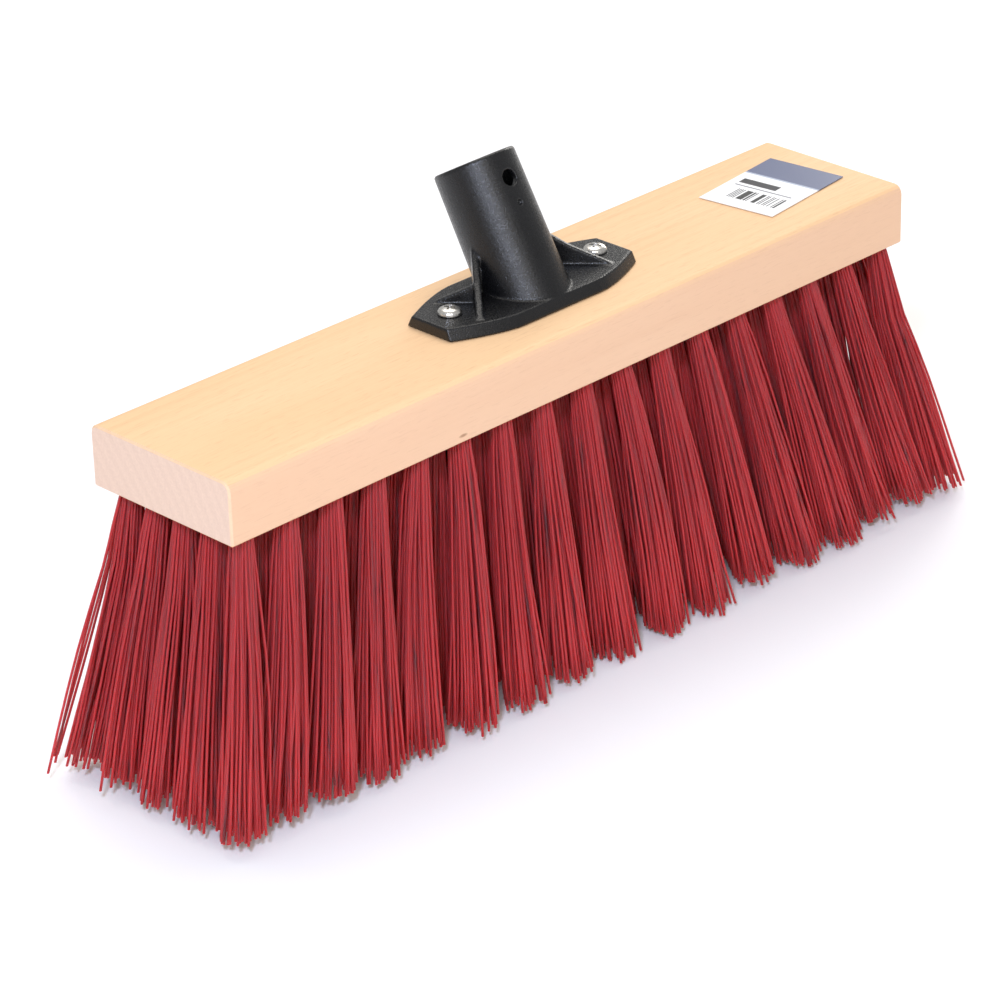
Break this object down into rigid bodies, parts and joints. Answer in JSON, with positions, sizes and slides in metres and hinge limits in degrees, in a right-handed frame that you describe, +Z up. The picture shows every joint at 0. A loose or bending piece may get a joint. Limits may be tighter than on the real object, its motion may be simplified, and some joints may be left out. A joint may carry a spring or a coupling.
{
  "type": "push broom head",
  "caption": "Wide push broom head: wooden block with fanned tufts of stiff plastic bristles and an angled plastic socket for a round handle.",
  "frame": {"origin": "on the floor under the middle of the block, at the level of the bristle tips", "axes": "+X along the block, +Y the way the handle socket leans, +Z up from the bristle tips to the socket"},
  "size_m": [0.4318, 0.1088, 0.1994],
  "materials": {
    "block": "bare sanded pale beech",
    "socket": "fine moulded texture, slightly glossy",
    "screws": "bright zinc plated",
    "label": "printed self-adhesive label with a slate-blue band and no wording",
    "bristles": "satin dark red stiff filaments"
  },
  "bodies": {
    "root": {"block": "block", "handle_socket": "socket", "screw_left": "screws", "screw_right": "screws", "label": "label", "tuft_r1_c01": "bristles", "tuft_r1_c02": "bristles", "tuft_r1_c03": "bristles", "tuft_r1_c04": "bristles", "tuft_r1_c05": "bristles", "tuft_r1_c06": "bristles", "tuft_r1_c07": "bristles", "tuft_r1_c08": "bristles", "tuft_r1_c09": "bristles", "tuft_r1_c10": "bristles", "tuft_r1_c11": "bristles", "tuft_r1_c12": "bristles", "tuft_r1_c13": "bristles", "tuft_r1_c14": "bristles", "tuft_r1_c15": "bristles", "tuft_r1_c16": "bristles", "tuft_r1_c17": "bristles", "tuft_r2_c01": "bristles", "tuft_r2_c17": "bristles", "tuft_r3_c01": "bristles", "tuft_r3_c17": "bristles", "tuft_r4_c01": "bristles", "tuft_r4_c17": "bristles", "tuft_r5_c01": "bristles", "tuft_r5_c02": "bristles", "tuft_r5_c03": "bristles", "tuft_r5_c04": "bristles", "tuft_r5_c05": "bristles", "tuft_r5_c06": "bristles", "tuft_r5_c07": "bristles", "tuft_r5_c08": "bristles", "tuft_r5_c09": "bristles", "tuft_r5_c10": "bristles", "tuft_r5_c11": "bristles", "tuft_r5_c12": "bristles", "tuft_r5_c13": "bristles", "tuft_r5_c14": "bristles", "tuft_r5_c15": "bristles", "tuft_r5_c16": "bristles", "tuft_r5_c17": "bristles", "tufts_inner_c02": "bristles", "tufts_inner_c03": "bristles", "tufts_inner_c04": "bristles", "tufts_inner_c05": "bristles", "tufts_inner_c06": "bristles", "tufts_inner_c07": "bristles", "tufts_inner_c08": "bristles", "tufts_inner_c09": "bristles", "tufts_inner_c10": "bristles", "tufts_inner_c11": "bristles", "tufts_inner_c12": "bristles", "tufts_inner_c13": "bristles", "tufts_inner_c14": "bristles", "tufts_inner_c15": "bristles", "tufts_inner_c16": "bristles"}
  },
  "joints": []
}
